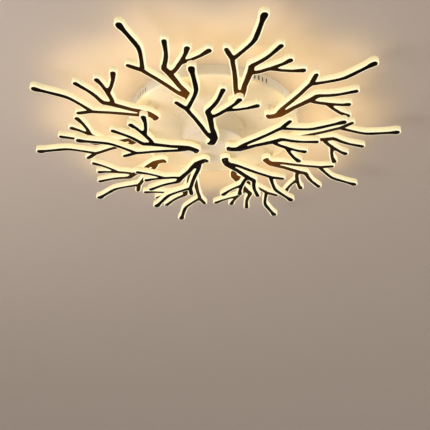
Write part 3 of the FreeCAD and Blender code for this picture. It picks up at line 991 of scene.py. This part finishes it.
ceilingPaint = oneSidedPaint("ceilingPaint", stage["ceilingColour"])
stagePlane("stageCeiling", stage["ceilingGap"], math.pi, ceilingPaint)
# painted shade: a dark one-sided disc just under the ceiling, inside the canopy's rim
shadePaint = oneSidedPaint("ceilingPaintedShade", stage["paintedShadeColour"])
stageShadeDisc("stageCeilingPaintedShade", stage["voidGap"], math.pi, shadePaint)
floorPaint = plainPaint("floorPaint", stage["floorColour"])[0]
floor = stagePlane("stageFloor", -stage["floorDrop"], 0, floorPaint)
floor.visible_shadow = False      # the suns from below shine up through it

world = bpy.data.worlds.new("paleRoom")
world.use_nodes = True
room = world.node_tree.nodes["Background"]
room.inputs["Color"].default_value = (*stage["roomColour"], 1)
rays = world.node_tree.nodes.new("ShaderNodeLightPath").outputs
seen = calculate(world.node_tree, "MAXIMUM", rays["Is Camera Ray"], rays["Is Glossy Ray"])
roomLevel = remap(world.node_tree, seen, stage["roomLight"], stage["backdropLevel"])
world.node_tree.links.new(roomLevel, room.inputs["Strength"])
scene.world = world


# Lamps: soft suns and a soft box for the room, and warm disks for the glow that the lit arms throw
# on the ceiling, the canopy and the hub

lamps = {
    "keySun": {"strength": 0.20, "from": (-0.9, -0.8, -1.0), "spread": 50},
    "fillSun": {"strength": 0.07, "from": (1.0, -0.2, -0.8), "spread": 70},
    "topSun": {"strength": 2.3, "from": (0.4, 0.5, 1.0), "spread": 60},
    "softBox": {"power": 34, "size": 1.6, "place": (-1.8, -1.6, -1.5)},
    "roomColour": (1.0, 0.955, 0.89),
}
glow = {
    "upper": {"count": 10, "ring": 0.36, "level": -0.052, "size": 0.26, "power": 0.105,
              "lean": 0, "colour": (1.0, 0.71, 0.31)},
    "wall": {"count": 10, "ring": 0.33, "level": -0.045, "size": 0.05, "power": 0.012,
             "lean": 75, "colour": (1.0, 0.72, 0.40)},
    "lower": {"count": 10, "ring": 0.20, "level": -0.100, "size": 0.10, "power": 0.016,
              "lean": 0, "colour": (1.0, 0.62, 0.22)},
    "middle": {"count": 1, "ring": 0.0, "level": -0.36, "size": 0.20, "power": 0.14,
               "lean": 0, "colour": (1.0, 0.58, 0.20)},
}


def addLamp(name, data, place, turn):
    lamp = bpy.data.objects.new(name, data)
    lamp.location = place
    lamp.rotation_euler = turn
    lamp.visible_camera = False
    lamp.visible_glossy = False
    scene.collection.objects.link(lamp)


def aimedFrom(origin):
    return (-Vector(origin)).to_track_quat("-Z", "Y").to_euler()


def sunLamp(name):
    data = bpy.data.lights.new(name, "SUN")
    data.energy = lamps[name]["strength"]
    data.angle = math.radians(lamps[name]["spread"])
    data.color = lamps["roomColour"]
    addLamp(name, data, (0, 0, 0), aimedFrom(lamps[name]["from"]))


def diskLamp(name, power, size, colour, place, turn):
    data = bpy.data.lights.new(name, "AREA")
    data.shape = "DISK"
    data.size = size
    data.energy = power
    data.color = colour
    addLamp(name, data, place, turn)


def glowRing(name):
    ring = glow[name]
    lean = math.radians(ring["lean"])
    for number in range(ring["count"]):
        angle = math.radians(arms["outer"]["firstAngle"] + 360 / ring["count"] * number)
        place = (ring["ring"] * math.cos(angle), ring["ring"] * math.sin(angle), ring["level"])
        aim = Vector((-math.sin(lean) * math.cos(angle), -math.sin(lean) * math.sin(angle), math.cos(lean)))
        diskLamp("%sGlow%02d" % (name, number), ring["power"], ring["size"], ring["colour"], place,
                 aim.to_track_quat("-Z", "Y").to_euler())


for lampName in ("keySun", "fillSun", "topSun"):
    sunLamp(lampName)
box = lamps["softBox"]
diskLamp("softBox", box["power"], box["size"], lamps["roomColour"], box["place"], aimedFrom(box["place"]))
for ringName in glow:
    glowRing(ringName)
print("stage and lamps set")


# Camera: below and in front of the light, looking up

view = {
    "place": (0.3225, -1.5903, -1.1321),
    "yaw": 11.214, "pitch": 27.908, "roll": 0.200,      # degrees, the pitch from level
    "lens": 56.78, "sensor": 36, "shiftX": -0.0017, "shiftY": -0.0308,
}

cameraData = bpy.data.cameras.new("photoCamera")
cameraData.lens = view["lens"]
cameraData.sensor_width = view["sensor"]
cameraData.shift_x = view["shiftX"]
cameraData.shift_y = view["shiftY"]
camera = bpy.data.objects.new("photoCamera", cameraData)
scene.collection.objects.link(camera)
camera.location = view["place"]
turn = (Matrix.Rotation(math.radians(view["yaw"]), 3, "Z")
        @ Matrix.Rotation(math.radians(90 + view["pitch"]), 3, "X")
        @ Matrix.Rotation(math.radians(view["roll"]), 3, "Z"))
camera.rotation_euler = turn.to_euler()
scene.camera = camera
scene.view_settings.view_transform = "Standard"

print("scene ready")
